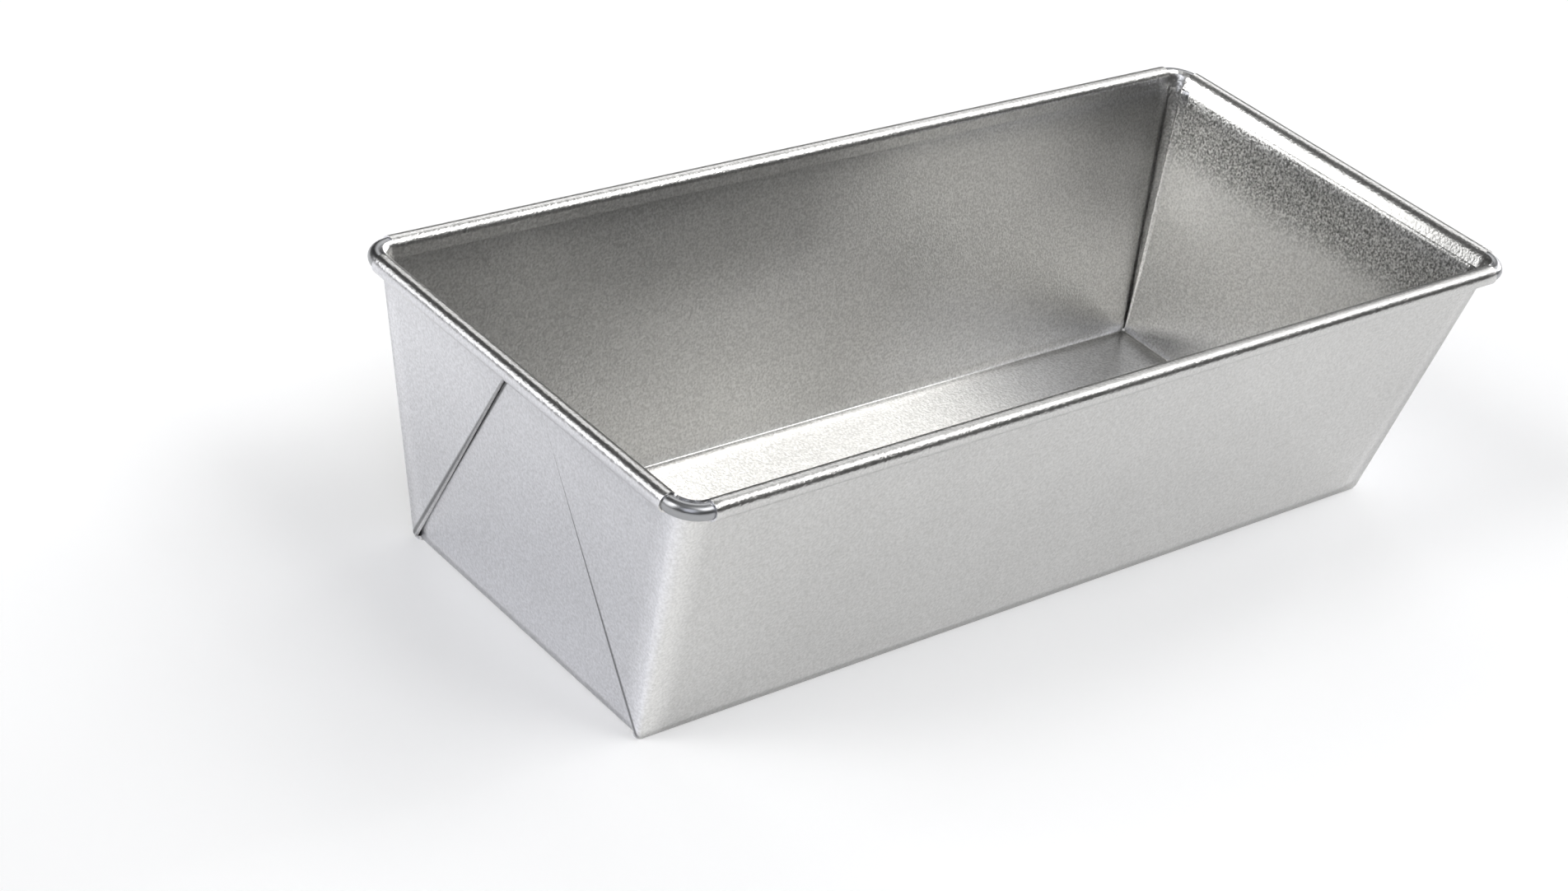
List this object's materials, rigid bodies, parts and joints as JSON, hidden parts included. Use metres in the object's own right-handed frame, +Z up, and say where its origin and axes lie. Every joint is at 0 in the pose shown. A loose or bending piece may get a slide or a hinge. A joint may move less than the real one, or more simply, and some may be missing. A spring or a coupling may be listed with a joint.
{
  "type": "folded loaf pan",
  "caption": "Rectangular loaf pan folded from one sheet, with flared walls, ears folded flat on the end walls and a rim rolled round a wire that shows at the corners.",
  "frame": {"origin": "centre of the underside", "axes": "+X along the pan's length, +Y across its width, +Z up out of its mouth"},
  "size_m": [0.229, 0.1034, 0.0625],
  "materials": {
    "tinned_sheet": "satin",
    "steel_wire": "smooth, darker"
  },
  "bodies": {
    "root": {"pan_body": "tinned_sheet", "rim_wire": "steel_wire"}
  },
  "joints": []
}
